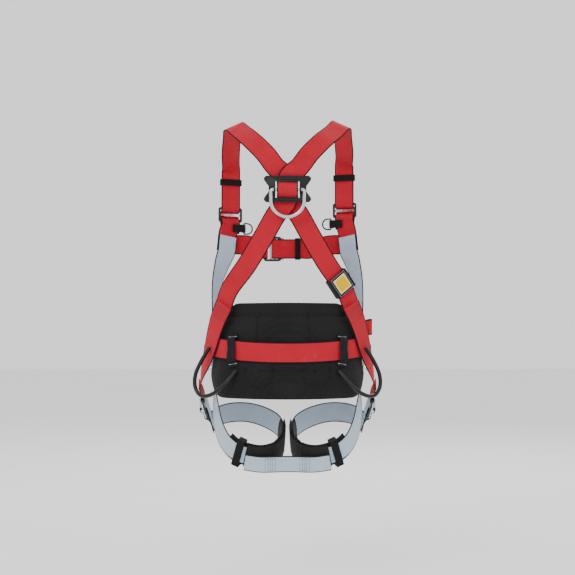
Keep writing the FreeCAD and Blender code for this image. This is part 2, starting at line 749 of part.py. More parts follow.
SIDES = (("left", -1), ("right", 1))
for name, side in SIDES:
    layer = 1 if side > 0 else 0
    shoulder = shoulder_strap(side, layer)
    save(webbing(shoulder), f"shoulder_strap_{name}")
    save(webbing(riser(side)), f"chest_riser_{name}")
    save(webbing(front_strap(side)), f"side_strap_{name}")
    seat = adjuster_seat(side)
    save(seat.set(adjuster_frame()), f"adjuster_frame_{name}")
    save(seat.set(grip_bar(ADJUSTER_WIDE - 4, 0, ADJUSTER_BAR_LOW)), f"adjuster_bar_{name}")
    at = Seat(seat.point(0, 74, UNDER), seat.along, seat.out)
    save(keeper(at, WEBBING + 1.6, 5.0, 14), f"shoulder_keeper_{name}")
    save(parking_tab(side), f"parking_tab_{name}")
    at = parking_seat(side)
    ring = forged_d(SMALL_RING_HALF, SMALL_RING_DROP, SMALL_ROD, at.origin, at.across, at.along)
    save(ring, f"parking_ring_{name}")

    save(webbing(hip_strap(side)), f"hip_strap_{name}")
    save(webbing(keeper_strip(side), 20), f"belt_keeper_{name}")
    save(webbing(side_ring_tab(side)), f"side_ring_tab_{name}")
    at = side_ring_seat(side)
    ring = forged_d(SIDE_RING_HALF, SIDE_RING_DROP, RING_ROD, at.origin, at.across, at.along)
    save(ring, f"side_ring_{name}")
    save(tool_loop(side), f"tool_loop_{name}")

    leg = leg_seat(side)
    buckle("leg", leg, f"_{name}")
    leg_end = [(leg.point(0, y, UNDER), leg.out) for y in (52, 34)]
    leg_route = route(leg_places(side) + leg_end)
    save(webbing(join(leg_route, leg.strap(bar_loop(28, 42), -1))), f"leg_strap_{name}")
    inner = -(WEBBING_THICK / 2 + 2 * GAP + LEG_PAD_THICK / 2)
    cover = WEBBING_THICK / 2 + 1.6 * GAP + COVER_THICK / 2
    padded = leg_route[4 * PAD_FIRST:4 * PAD_LAST - PAD_TRIM]
    covered = leg_route[4 * COVER_FIRST + PAD_TRIM:4 * PAD_LAST - PAD_TRIM]
    save(webbing(raised(padded, inner), LEG_PAD_WIDE, LEG_PAD_THICK), f"leg_pad_{name}")
    save(webbing(raised(covered, cover), LEG_PAD_WIDE, COVER_THICK), f"leg_pad_cover_{name}")
    point, way, out = nearest(leg_route, Vector(side * 106, -111, -215))
    band = Seat(point, way, out)
    band.origin = band.origin - band.out * (2 * GAP + LEG_PAD_THICK) / 2
    band_deep = WEBBING_THICK + 2 * GAP + LEG_PAD_THICK + LEG_KEEPER_ROOM
    save(keeper(band, LEG_PAD_WIDE + LEG_KEEPER_ROOM, band_deep, LEG_KEEPER_LONG), f"leg_keeper_{name}")

save(dorsal_plate(), "dorsal_plate")
save(dorsal_ring(), "dorsal_ring")
save(sub_pelvic(), "sub_pelvic_strap")

save(waist_pad(), "waist_pad")
belt = belt_seat()
buckle("belt", belt)
round_waist = belt_places(FRONT_ANGLE + 30, FRONT_ANGLE + 330)
from_frame = [(y, z) for y, z in frame_loop()[::-1]]
start = belt.strap(from_frame, -1)
start_way = [(belt.point(0, -34, UNDER), belt.out), (belt.point(0, -48, UNDER - 0.5), belt.out)]
end_way = [(belt.point(0, 62, UNDER - 1), belt.out), (belt.point(0, 44, UNDER), belt.out)]
round_waist = route(start_way + round_waist + end_way, 3)
save(webbing(join(start, round_waist, belt.strap(bar_loop(30), -1))), "waist_belt")

chest = chest_seat()
buckle("chest", chest)
outer = ((130, 9.6), (112, 8.6))
ends = {
    side: [over_body(side * x, CHEST + 5 - (FRONT_X - x) * 0.05, stand, 1) for x, stand in line]
    for side, line in ((-1, outer + ((88, 7.0),)), (1, outer + ((92, 7.6),)))
}
left_way = ends[-1] + [(chest.point(0, -34, UNDER), chest.out), (chest.point(0, -24, UNDER), chest.out)]
save(webbing(join(route(left_way), chest.strap(frame_loop(26)))), "chest_strap_left")
right_way = ends[1] + [(chest.point(0, y, UNDER), chest.out) for y in (86, 70, 54, 38)]
save(webbing(join(route(right_way), chest.strap(bar_loop(30, 62), -1))), "chest_strap_right")
at = Seat(chest.point(0, 58, UNDER + LAYER / 2), chest.along, chest.out)
save(keeper(at, WEBBING + 1.6, 6.6, 12), "chest_keeper")

under_strap = route(shoulder_places(-1, 0))
point, way, out = nearest(under_strap, Vector(106, -90, 143))
at = Seat(point, way, out)
save(keeper(at, WEBBING + SLEEVE_ROOM, SLEEVE_DEEP, 46, SLEEVE_THICK), "label_sleeve")
card_low = SLEEVE_DEEP / 2 + SLEEVE_THICK + 0.2
save(at.set(rounded_plate(32, 34, card_low, card_low + 0.8, 2)), "label_card")
save(hip_tab(), "hip_tab")
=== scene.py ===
"""Looks of the full body safety harness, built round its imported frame.

Metres, in the frame's own axes: +X is the wearer's right, +Y is in front of the wearer, +Z is up.
Every soft piece is worked out from the cross-sections of the frame's own solid, so it lies where that does.
"""

import copy
import json
import math

import bpy
import numpy as np
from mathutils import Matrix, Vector, noise


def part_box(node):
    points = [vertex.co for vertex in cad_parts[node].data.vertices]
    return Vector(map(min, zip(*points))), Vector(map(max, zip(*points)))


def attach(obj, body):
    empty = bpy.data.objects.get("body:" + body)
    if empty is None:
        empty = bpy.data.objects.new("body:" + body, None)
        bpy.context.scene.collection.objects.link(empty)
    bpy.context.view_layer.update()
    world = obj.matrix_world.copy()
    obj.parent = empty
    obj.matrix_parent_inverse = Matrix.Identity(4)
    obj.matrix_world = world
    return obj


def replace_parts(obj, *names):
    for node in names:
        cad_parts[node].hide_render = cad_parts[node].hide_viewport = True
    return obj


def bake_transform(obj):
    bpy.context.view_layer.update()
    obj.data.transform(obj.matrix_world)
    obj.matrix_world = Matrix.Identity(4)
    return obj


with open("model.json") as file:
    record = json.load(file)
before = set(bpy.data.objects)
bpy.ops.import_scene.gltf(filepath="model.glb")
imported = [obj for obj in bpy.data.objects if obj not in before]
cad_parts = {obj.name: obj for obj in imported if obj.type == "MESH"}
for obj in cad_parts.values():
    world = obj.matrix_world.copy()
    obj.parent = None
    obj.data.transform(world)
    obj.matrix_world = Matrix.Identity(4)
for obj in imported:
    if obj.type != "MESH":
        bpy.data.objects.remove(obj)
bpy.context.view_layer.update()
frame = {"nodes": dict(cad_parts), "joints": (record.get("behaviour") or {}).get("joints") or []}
NODES = frame["nodes"]

# Webbing: how thick it is, and how far its surface wanders from flat.
THICK, RIPPLE = 0.0020, 0.0003
# Between two rows of a strap's mesh, and in straps that fold or loop.
STEP = 0.0035
FINE_STEP = STEP / 3
# Vertices nearer than this are one.
SAME_PLACE = 1e-6
SIDES = (("left", -1), ("right", 1))


# ---- reading the frame ----------------------------------------------------------------------
def points_of(mesh, kind="co"):
    """A mesh's vertices, or their normals, as rows of an array."""
    values = np.zeros(len(mesh.vertices) * 3)
    mesh.vertices.foreach_get(kind, values)
    return values.reshape(-1, 3)


def rings_of(node, size=4):
    """The cross-sections of a lofted solid, in order from one end.

    Each section is one step of the mesh further from the middle of the end cap, which is the
    one point of an end that only its section's points touch.
    """
    mesh = NODES[node].data
    keys, index = np.unique(np.round(points_of(mesh), 6), axis=0, return_inverse=True)
    index = index.reshape(-1)
    near = [set() for _ in keys]
    mesh.calc_loop_triangles()
    for triangle in mesh.loop_triangles:
        corners = [int(index[v]) for v in triangle.vertices]
        for a in corners:
            near[a].update(c for c in corners if c != a)
    cap = min(i for i, around in enumerate(near) if len(around) == size)
    seen, layer, rings = {cap}, sorted(near[cap]), []
    while len(layer) == size:
        rings.append(keys[layer])
        seen.update(layer)
        layer = sorted({b for a in layer for b in near[a]} - seen)
    return rings


def box_middle(node):
    low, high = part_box(node)
    return (np.array(low) + np.array(high)) / 2


def unit(v):
    """Vectors of length 1 in the same directions."""
    return v / np.maximum(np.linalg.norm(v, axis=-1, keepdims=True), 1e-12)


def along_of(points):
    """The direction of a line of points at each of them."""
    return unit(np.gradient(points, axis=0))


def spans(points):
    """How far along a line of points each of them is."""
    return np.concatenate([[0], np.cumsum(np.linalg.norm(np.diff(points, axis=0), axis=1))])


def curve_at(values, at, want):
    """Values given at increasing places, read at other places on a smooth curve through them."""
    slope = np.gradient(values, at, axis=0)
    i = np.clip(np.searchsorted(at, want, side="right") - 1, 0, len(at) - 2)
    span = (at[i + 1] - at[i])[:, None]
    t = (want[:, None] - at[i][:, None]) / span
    a, b, da, db = values[i], values[i + 1], slope[i] * span, slope[i + 1] * span
    places = a * (1 + 2 * t) * (1 - t) ** 2 + b * t**2 * (3 - 2 * t)
    return places + da * t * (1 - t) ** 2 - db * t**2 * (1 - t)


def flat_frame(node):
    """Middle, long way, short way and outward way of a thin plate, with its three sizes."""
    co = np.unique(np.round(points_of(NODES[node].data), 6), axis=0)
    middle = (co.max(0) + co.min(0)) / 2
    ways = np.linalg.svd(co - co.mean(0), full_matrices=False)[2]
    if ways[2].dot(middle * (1, 1, 0)) < 0:
        ways[2] = -ways[2]
    local = (co - middle) @ ways.T
    middle = middle + ways.T @ ((local.max(0) + local.min(0)) / 2)
    return middle, ways, np.ptp(local, axis=0)


class Strap:
    """The line of a flat strap: middle, way across and way out at evenly spaced places.

    Its out side faces away from the upright line through centre.
    """

    def __init__(self, node, centre=(0, 0), step=STEP):
        first, second = [], []
        for ring in rings_of(node):
            gaps = np.linalg.norm(ring - ring[0], axis=1)
            mate = int(np.argsort(gaps)[1])
            rest = [k for k in range(1, 4) if k != mate]
            a, b = (ring[0] + ring[mate]) / 2, (ring[rest[0]] + ring[rest[1]]) / 2
            if first and np.linalg.norm(a - first[-1]) > np.linalg.norm(b - first[-1]):
                a, b = b, a
            first.append(a)
            second.append(b)
        first, second = np.array(first), np.array(second)
        middle = (first + second) / 2
        self.width = float(np.median(np.linalg.norm(second - first, axis=1)))
        across = unit(second - first)
        out = np.cross(across, along_of(middle))
        away = middle - np.array([centre[0], centre[1], 0])
        away[:, 2] = 0
        if (out * away).sum() < 0:
            across = -across
        at = spans(middle)
        self.length = float(at[-1])
        self.places = np.linspace(0, self.length, max(3, round(self.length / step)))
        self.middle = curve_at(middle, at, self.places)
        self.across = unit(curve_at(across, at, self.places))
        self.way = along_of(self.middle)
        self.across = unit(self.across - self.way * (self.across * self.way).sum(1, keepdims=True))
        self.out = np.cross(self.across, self.way)

    def at(self, u, v, lift=0.0):
        """The point that far across, along and out from the strap's middle surface."""
        middle, across, out = (
            np.array([np.interp(v, self.places, table[:, k]) for k in range(3)])
            for table in (self.middle, self.across, self.out)
        )
        return middle + unit(across) * u + unit(out) * lift

    def turned(self):
        """The same strap read from its other end."""
        other = copy.copy(self)
        other.places = self.length - self.places[::-1]
        other.middle, other.across, other.out = self.middle[::-1], -self.across[::-1], self.out[::-1]
        other.way = -self.way[::-1]
        return other

    def part(self, first, last):
        """The same strap between two of its places; its weave runs on from the rest."""
        piece = copy.copy(self)
        for table in ("places", "middle", "across", "way", "out"):
            setattr(piece, table, getattr(self, table)[first:last + 1])
        return piece


# ---- meshes ---------------------------------------------------------------------------------
def mesh_object(name, vertices, faces, material, body, weave=None):
    """A smooth mesh piece; without a body it rides on nothing."""
    mesh = bpy.data.meshes.new(name)
    mesh.from_pydata([tuple(v) for v in vertices], [], faces)
    mesh.validate()
    mesh.polygons.foreach_set("use_smooth", [True] * len(mesh.polygons))
    if weave is not None:
        layer = mesh.attributes.new("weave", "FLOAT_VECTOR", "POINT")
        layer.data.foreach_set("vector", np.asarray(weave, np.float32).reshape(-1))
    mesh.materials.append(material)
    piece = bpy.data.objects.new(name, mesh)
    bpy.context.scene.collection.objects.link(piece)
    if body:
        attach(piece, body)
    return piece


def skin(rows, size):
    """Faces over rows of points, each row a closed ring of that many points, and over both ends."""
    faces = []
    for r in range(rows - 1):
        for i in range(size):
            j = (i + 1) % size
            faces.append((r * size + i, r * size + j, (r + 1) * size + j, (r + 1) * size + i))
    faces.append(tuple(range(size))[::-1])
    faces.append(tuple(range((rows - 1) * size, rows * size)))
    return faces


def profile(width, columns=12, edge=4):
    """A flat strap's section: (across, out, distance from the edge), round at both edges."""
    half, r = width / 2, THICK / 2
    inner = np.linspace(-(half - r), half - r, columns)
    points = [(u, r, half - abs(u)) for u in inner]
    for k in range(1, edge):
        a = math.pi / 2 - math.pi * k / edge
        points.append((half - r + r * math.cos(a), r * math.sin(a), 0.0))
    points += [(u, -r, half - abs(u)) for u in inner[::-1]]
    for k in range(1, edge):
        a = -math.pi / 2 - math.pi * k / edge
        points.append((-(half - r) + r * math.cos(a), r * math.sin(a), 0.0))
    return np.array(points)


def strap_piece(name, strap, material, body="webbing", ripple=RIPPLE, like=None):
    """A length of webbing along a strap's line, with its weave's coordinates.

    Pieces cut from one strap are given the same name to be like, so that their ripples meet.
    """
    section = profile(strap.width)
    rows = len(strap.places)
    u, n, edge = section.T
    vertices = strap.middle[:, None] + strap.across[:, None] * u[None, :, None]
    vertices = vertices + strap.out[:, None] * n[None, :, None]
    seed = float(sum(map(ord, like or name)) % 97)
    wave = np.array([
        [noise.noise(Vector((seed + p * 14, k * 1.7, 0.3))) for k in (0, 1)] for p in strap.places
    ])
    side = (u / (strap.width / 2))[None, :]
    shift = ripple * (wave[:, :1] * (1 + side) + wave[:, 1:] * (1 - side))
    vertices = vertices + strap.out[:, None] * shift[:, :, None]
    weave = np.zeros((rows, len(u), 3))
    weave[:, :, 0] = u[None]
    weave[:, :, 1] = strap.places[:, None]
    weave[:, :, 2] = edge[None]
    return mesh_object(
        name, vertices.reshape(-1, 3), skin(rows, len(u)), material, body, weave.reshape(-1, 3)
    )


# A stitch's length, the gap to the next one and its thread's radius.
STITCH, STITCH_GAP, THREAD = 0.0026, 0.0006, 0.0006
# One stitch from hole to hole: how far along, how thick and how high each of its rings is.
STITCH_RINGS = ((0, 0.35, -0.9), (0.2, 0.9, 0.1), (0.5, 1.0, 0.45), (0.8, 0.9, 0.1), (1, 0.35, -0.9))
THREAD_SIDES = 6
THREAD_FLAT = 0.7


def threads(name, strap, runs, material):
    """Stitches along runs of (across, along) points on a strap's outer face."""
    vertices, faces = [], []
    inset = 0.5 * STITCH_GAP / STITCH
    for run in runs:
        run = np.array(run, float)
        at = spans(run)
        count = max(1, round(at[-1] / (STITCH + STITCH_GAP)))
        for k in range(count):
            ends = [(k + share) * at[-1] / count for share in (inset, 1 - inset)]
            flat = [[np.interp(e, at, run[:, c]) for c in (0, 1)] for e in ends]
            a, b = (strap.at(u, v, THICK / 2) for u, v in flat)
            up = unit(strap.at(*flat[0], THICK) - a)
            way = unit(b - a)
            side = np.cross(way, up)
            base = len(vertices)
            for share, fat, rise in STITCH_RINGS:
                centre = a + (b - a) * share + up * THREAD * rise
                for q in range(THREAD_SIDES):
                    angle = 2 * math.pi * q / THREAD_SIDES
                    ring = side * math.cos(angle) + up * THREAD_FLAT * math.sin(angle)
                    vertices.append(centre + ring * THREAD * fat)
            faces += [tuple(base + i for i in f) for f in skin(len(STITCH_RINGS), THREAD_SIDES)]
    mesh_object(name, vertices, faces, material, "webbing")


def box_stitch(u, start, end, cross=True):
    """A rectangle of stitching between two places on a strap, with a cross in it."""
    corners = [(-u, start), (u, start), (u, end), (-u, end), (-u, start)]
    runs = [corners]
    if cross:
        runs += [[(-u, start), (u, end)], [(u, start), (-u, end)]]
    return runs


def zigzag(u, start, end, turns):
    """One row of a W stitch across a strap."""
    return [[(-u + 2 * u * k / (2 * turns), start if k % 2 else end) for k in range(2 * turns + 1)]]


def bar_tack(u, place, half=0.0011, turns=26):
    """Close zigzag stitches in a bar across a strap."""
    return [[(-u + 2 * u * k / turns, place + (half if k % 2 else -half)) for k in range(turns + 1)]]


def tube_piece(name, points, radius, material, taper, sides=20):
    """A round tube along points, whose radius is multiplied by taper of its share of the way."""
    way = along_of(points)
    side = unit(np.cross(way[0], (0.31, 0.55, 0.77)))
    vertices, weave = [], []
    at = spans(points)
    for i, (point, d) in enumerate(zip(points, way)):
        side = unit(side - d * side.dot(d))
        up = np.cross(d, side)
        r = radius * taper(at[i] / at[-1])
        for q in range(sides):
            a = 2 * math.pi * q / sides
            vertices.append(point + (side * math.cos(a) + up * math.sin(a)) * r)
            weave.append((a * radius, at[i], 0.01))
    return mesh_object(name, vertices, skin(len(points), sides), material, "webbing", weave)


# ---- materials ------------------------------------------------------------------------------
class Shader:
    """A material's node tree, with short calls for the nodes that the finishes share."""

    def __init__(self, name, roughness, metallic=0.0, **sockets):
        self.material = bpy.data.materials.new(name)
        self.material.use_nodes = True
        self.tree = self.material.node_tree
        self.shader = self.tree.nodes["Principled BSDF"]
        self.shader.inputs["Roughness"].default_value = roughness
        self.shader.inputs["Metallic"].default_value = metallic
        for socket, value in sockets.items():
            self.shader.inputs[socket.replace("_", " ")].default_value = value

    def node(self, kind, inputs=(), **settings):
        made = self.tree.nodes.new(kind)
        for key, value in settings.items():
            setattr(made, key, value)
        for key, value in dict(inputs).items():
            if isinstance(value, bpy.types.NodeSocket):
                self.tree.links.new(value, made.inputs[key])
            else:
                made.inputs[key].default_value = value
        return made

    def math(self, operation, a, b=0.0, c=0.0):
        return self.node("ShaderNodeMath", {0: a, 1: b, 2: c}, operation=operation).outputs[0]

    def smooth(self, value, low, high, to_low=0.0, to_high=1.0):
        """A value carried smoothly from one range to another."""
        ranged = self.node(
            "ShaderNodeMapRange",
            {"Value": value, "From Min": low, "From Max": high, "To Min": to_low, "To Max": to_high},
            interpolation_type="SMOOTHSTEP",
        )
        return ranged.outputs["Result"]

    def noise(self, scale, detail=3.0, vector=None, stretch=None):
        if vector is None:
            vector = self.node("ShaderNodeTexCoord").outputs["Object"]
        if stretch:
            vector = self.node("ShaderNodeMapping", {"Vector": vector, "Scale": stretch}).outputs[0]
        made = self.node("ShaderNodeTexNoise", {"Vector": vector, "Scale": scale, "Detail": detail})
        return made.outputs["Fac"]

    def mix(self, share, a, b):
        mixed = self.node("ShaderNodeMix", data_type="RGBA")
        for index, value in ((0, share), (6, a), (7, b)):
            if isinstance(value, bpy.types.NodeSocket):
                self.tree.links.new(value, mixed.inputs[index])
            else:
                mixed.inputs[index].default_value = value
        return mixed.outputs[2]

    def weave(self):
        """A strap's own places: across, along, distance from its edge, and all three as one."""
        layer = self.node("ShaderNodeAttribute", attribute_name="weave", attribute_type="GEOMETRY")
        parts = self.node("ShaderNodeSeparateXYZ", {0: layer.outputs["Vector"]})
        return parts.outputs[0], parts.outputs[1], parts.outputs[2], layer.outputs["Vector"]

    def set(self, socket, value):
        self.tree.links.new(value, self.shader.inputs[socket])

    def bump(self, height, distance, strength=1.0):
        inputs = {"Height": height, "Distance": distance, "Strength": strength}
        return self.node("ShaderNodeBump", inputs).outputs["Normal"]


def rgb(r, g, b):
    return (r, g, b, 1.0)


def scaled(colour, factor, lift=0.0):
    """A colour made darker or lighter."""
    return rgb(*(min(1, factor * c + lift) for c in colour[:3]))


# The webbing's repeats: half a chevron's width, then one twill, warp and weft thread.
CHEVRON, TWILL, WARP, WEFT = 0.0045, 0.0019, 0.0009, 0.0011
# How far in from each edge of a strap its dark band reaches.
EDGE_BAND = 0.0026


def webbing_material(name, light, dark, edge):
    """Woven polyester: chevron twill, a dark band along each edge, rubbed crowns and faint soiling."""
    s = Shader(name, 0.72, Sheen_Weight=0.03, Sheen_Roughness=0.45, Specular_IOR_Level=0.12)
    across, along, rim, place = s.weave()
    chevron = s.math("PINGPONG", across, CHEVRON)
    phase = s.math("ADD", s.math("MULTIPLY", chevron, 1.1), along)
    twill = s.math("SINE", s.math("MULTIPLY", phase, 2 * math.pi / TWILL))
    warp = s.math("SINE", s.math("MULTIPLY", across, 2 * math.pi / WARP))
    weft = s.math("SINE", s.math("MULTIPLY", along, 2 * math.pi / WEFT))
    yarn = s.math("MULTIPLY", warp, weft)
    height = s.math("ADD", s.math("MULTIPLY", twill, 0.6), s.math("MULTIPLY", yarn, 0.35))
    fibres = s.noise(900.0, 4.0, place, (1.0, 0.12, 0.0))
    height = s.math("ADD", height, s.math("MULTIPLY", fibres, 0.5))
    shade = s.smooth(height, -1.2, 1.3)
    body = s.mix(shade, dark, light)
    soil = s.smooth(s.noise(16.0, 5.0), 0.45, 0.75)
    body = s.mix(s.math("MULTIPLY", soil, 0.16), body, scaled(dark, 0.55))
    rubbed = s.smooth(s.noise(70.0, 6.0), 0.6, 0.8)
    body = s.mix(s.math("MULTIPLY", rubbed, 0.12), body, scaled(light, 1.5, 0.05))
    # A dark band along each edge of the strap, in the edge colour.
    edging = s.smooth(rim, EDGE_BAND * 0.75, EDGE_BAND * 1.25)
    s.set("Base Color", s.mix(edging, edge, body))
    s.set("Roughness", s.smooth(height, -1.2, 1.3, 0.82, 0.6))
    s.set("Normal", s.bump(height, 0.00028))
    return s.material


def mesh_fabric_material(name, colour, cell=0.0028):
    """Spacer mesh fabric: small round cells with soft fuzz, for the padding's face."""
    s = Shader(name, 0.85, Sheen_Weight=0.08, Sheen_Roughness=0.5, Specular_IOR_Level=0.12)
    place = s.node("ShaderNodeTexCoord").outputs["Object"]
    cells = s.node("ShaderNodeTexVoronoi", {"Vector": place, "Scale": 1 / cell, "Randomness": 0.25})
    pores = s.smooth(cells.outputs["Distance"], 0.15, 0.55)
    fuzz = s.noise(1400.0, 3.0)
    height = s.math("ADD", pores, s.math("MULTIPLY", fuzz, 0.4))
    wide = s.smooth(s.noise(14.0, 4.0), 0.3, 0.75)
    dull = s.mix(pores, scaled(colour, 0.45), colour)
    s.set("Base Color", s.mix(s.math("MULTIPLY", wide, 0.35), dull, scaled(colour, 1.8)))
    s.set("Roughness", s.smooth(fuzz, 0.3, 0.7, 0.75, 0.95))
    s.set("Normal", s.bump(height, 0.0005, 0.8))
    return s.material


def plastic_material(name, colour, roughness, grain=0.00008):
    """Moulded plastic with a spark-eroded grain and scuffed, lighter edges."""
    s = Shader(name, roughness, Specular_IOR_Level=0.3)
    fine = s.noise(1500.0, 2.0)
    wear = s.smooth(s.noise(90.0, 6.0), 0.55, 0.75)
    point = s.node("ShaderNodeNewGeometry").outputs["Pointiness"]
    edge = s.math("MULTIPLY", s.smooth(point, 0.54, 0.64), 0.3)
    body = s.mix(s.math("MULTIPLY", wear, 0.25), colour, scaled(colour, 1.6, 0.01))
    s.set("Base Color", s.mix(edge, body, scaled(colour, 2.2, 0.05)))
    s.set("Roughness", s.smooth(s.noise(40.0, 5.0), 0.3, 0.7, roughness - 0.08, roughness + 0.14))
    s.set("Normal", s.bump(fine, grain, 0.9))
    return s.material


BRUSHED = (1.0, 30.0, 1.0)


def metal_material(name, colour, roughness, wear=None):
    """Plated steel, or coated steel that wears to the colour wear, with fine brushing and marks."""
    s = Shader(name, roughness, 1.0 if wear is None else 0.3, Specular_IOR_Level=0.5)
    lines = s.noise(160.0, 4.0, stretch=BRUSHED)
    marks = s.smooth(s.noise(60.0, 6.0), 0.5, 0.75)
    body = s.mix(s.math("MULTIPLY", lines, 0.3), colour, scaled(colour, 0.7))
    body = s.mix(s.math("MULTIPLY", marks, 0.2), body, scaled(colour, 0.5))
    if wear is not None:
        point = s.node("ShaderNodeNewGeometry").outputs["Pointiness"]
        body = s.mix(s.math("MULTIPLY", s.smooth(point, 0.53, 0.62), 0.7), body, wear)
    s.set("Base Color", body)
    dulled = s.math("ADD", lines, s.math("MULTIPLY", marks, 0.5))
    s.set("Roughness", s.smooth(dulled, 0.4, 1.1, roughness - 0.07, roughness + 0.12))
    s.set("Normal", s.bump(lines, 0.00004, 0.6))
    return s.material


def thread_material(name, colour):
    """Bonded thread: a tight twist with a slight shine."""
    s = Shader(name, 0.5, Sheen_Weight=0.3)
    twist = s.noise(2600.0, 2.0, stretch=(1.0, 3.0, 1.0))
    s.set("Base Color", s.mix(twist, scaled(colour, 0.6), colour))
    s.set("Normal", s.bump(twist, 0.0001, 0.8))
    return s.material


def elastic_material(name):
    """Black elastic, with fine fuzz."""
    s = Shader(name, 0.8, Sheen_Weight=0.04, Specular_IOR_Level=0.15)
    height = s.math("MULTIPLY", s.noise(1200.0, 3.0), 0.6)
    shade = s.smooth(height, -0.8, 1.4)
    s.set("Base Color", s.mix(shade, rgb(0.002, 0.002, 0.003), rgb(0.009, 0.009, 0.010)))
    s.set("Normal", s.bump(height, 0.0002))
    return s.material


def card_material(name):
    """A laminated yellow card with a pale printed border, worked out from its own weave places."""
    s = Shader(name, 0.45, Specular_IOR_Level=0.08)
    rim = s.weave()[2]
    paper = s.noise(300.0, 4.0)
    body = s.mix(s.math("MULTIPLY", paper, 0.3), rgb(0.74, 0.43, 0.0), rgb(0.66, 0.37, 0.0))
    border = s.smooth(rim, 0.0022, 0.0026)
    s.set("Base Color", s.mix(border, rgb(0.86, 0.76, 0.34), body))
    s.set("Normal", s.bump(s.noise(120.0, 3.0), 0.0001, 0.5))
    return s.material


DARK = rgb(0.012, 0.012, 0.014)
RED = webbing_material(
    "red_webbing", rgb(0.60, 0.016, 0.036), rgb(0.33, 0.006, 0.015), rgb(0.012, 0.004, 0.005)
)
GREY = webbing_material(
    "grey_webbing", rgb(0.56, 0.68, 0.80), rgb(0.34, 0.44, 0.54), rgb(0.014, 0.017, 0.022)
)
BLACK = webbing_material("black_webbing", rgb(0.014, 0.014, 0.016), rgb(0.005, 0.005, 0.006), DARK)
PAD = mesh_fabric_material("pad_fabric", rgb(0.010, 0.010, 0.011))
BINDING = mesh_fabric_material("pad_binding", rgb(0.012, 0.012, 0.013), 0.0022)
PLASTIC = plastic_material("moulded_plastic", rgb(0.007, 0.007, 0.008), 0.36)
TUBE = plastic_material("loop_tube", rgb(0.005, 0.005, 0.006), 0.34, 0.00004)
FORGED = metal_material("forged_steel", rgb(0.60, 0.61, 0.63), 0.30)
COATED = metal_material("black_steel", rgb(0.020, 0.020, 0.022), 0.38, wear=rgb(0.35, 0.35, 0.36))
BRIGHT = metal_material("bright_bar", rgb(0.74, 0.75, 0.77), 0.20)
ELASTIC = elastic_material("elastic")
CARD = card_material("label_card")
RED_THREAD = thread_material("red_thread", rgb(0.10, 0.012, 0.016))
DARK_THREAD = thread_material("dark_thread", rgb(0.012, 0.012, 0.014))
PALE_THREAD = thread_material("pale_thread", rgb(0.42, 0.44, 0.46))


# How far from a catch's hinge, along the catch, a strap's loop lies and its two runs bend; and how
# far off the hinge to either side the loop can be.
CATCH_REACH = (-0.032, 0.006)
CATCH_ROOM = 0.015
UNDER_BEND = (-0.0135, -0.0245)
OVER_BEND = (0.006, -0.008)
# The bars pass close to their loops, so these straps lie nearly smooth.
LOOP_RIPPLE = 0.00005


# ---- straps ---------------------------------------------------------------------------------
THIGH_MIDDLE = 0.086
LADDER_HALF, LADDER_TALL, LADDER_RUNG = 0.015, 0.011, 0.0044
straps = {}


def lay_strap(node, material, step=STEP):
    """A strap on its own solid's line, which stands for that solid."""
    strap = straps[node] = Strap(node, step=step)
    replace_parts(strap_piece(f"{node}_webbing", strap, material), node)


def lay_looped_strap(node, catch, joint, material, centre=(0, 0)):
    """A strap laid in four pieces: its run, its tail and the two halves of its loop round a grip bar.

    The run that comes in under the frame is cut short of the frame's far bar, and the tail that
    goes out over the catch is cut at the hinge; the loop's two halves between them ride on no body.
    """
    strap = straps[node] = Strap(node, centre, FINE_STEP)
    hinge = next(j for j in frame["joints"] if j["name"] == joint)
    pivot = np.array(hinge["pos_m"])
    middle, ways, _ = flat_frame(catch)
    along = ways[1] * np.sign(ways[1].dot(pivot - middle))
    reach = (strap.middle - pivot) @ along
    apart = np.linalg.norm((strap.middle - pivot) - reach[:, None] * along, axis=1)
    # The catch's outer side is the one its grip bar lies on; the strap comes in on the other side.
    lift_way = ways[2] * np.sign(ways[2].dot(box_middle(catch.replace("catch", "bar")) - middle))
    inside = np.where((reach > CATCH_REACH[0]) & (reach < CATCH_REACH[1]) & (apart < CATCH_ROOM))[0]
    turn = int(inside[np.argmin(reach[inside])])
    height = (strap.middle - middle) @ lift_way
    before = [i for i in inside if i < turn and reach[i] > UNDER_BEND[0]]
    if height[before].mean() > 0:
        straps[node] = strap = strap.turned()
        reach, turn = reach[::-1], len(reach) - 1 - turn
    come = max(i for i in range(turn) if reach[i] > UNDER_BEND[0])
    leave = min(i for i in range(turn, len(reach)) if reach[i] > OVER_BEND[0])
    fixed = ((0, come, "run"), (leave, len(reach) - 1, "tail"))
    bending = ((come, turn, "loop_in", UNDER_BEND), (turn, leave, "loop_out", OVER_BEND))
    for first, last, tag, *bend in (*fixed, *bending):
        piece = strap_piece(
            f"{node}_{tag}", strap.part(first, last), material,
            body=None if bend else "webbing", ripple=LOOP_RIPPLE, like=node,
        )
        if bend:
            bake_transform(piece)
        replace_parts(piece, node)


def stitch(node, tag, runs, material=RED_THREAD):
    """Stitches on the outer face of a strap that has been laid."""
    threads(f"{node}_{tag}", straps[node], runs, material)


SEAM_START, SEAM_HALF, SEAM_ROWS, SEAM_TURNS = 0.005, 0.018, 4, 7
SEAM_PITCH, SEAM_TALL = 0.008, 0.007


def seam(node):
    """Rows of W stitches near a strap's top end, where it is sewn to another."""
    starts = [SEAM_START + k * SEAM_PITCH for k in range(SEAM_ROWS)]
    runs = [run for start in starts for run in zigzag(SEAM_HALF, start, start + SEAM_TALL, SEAM_TURNS)]
    stitch(node, "seam_stitching", runs)


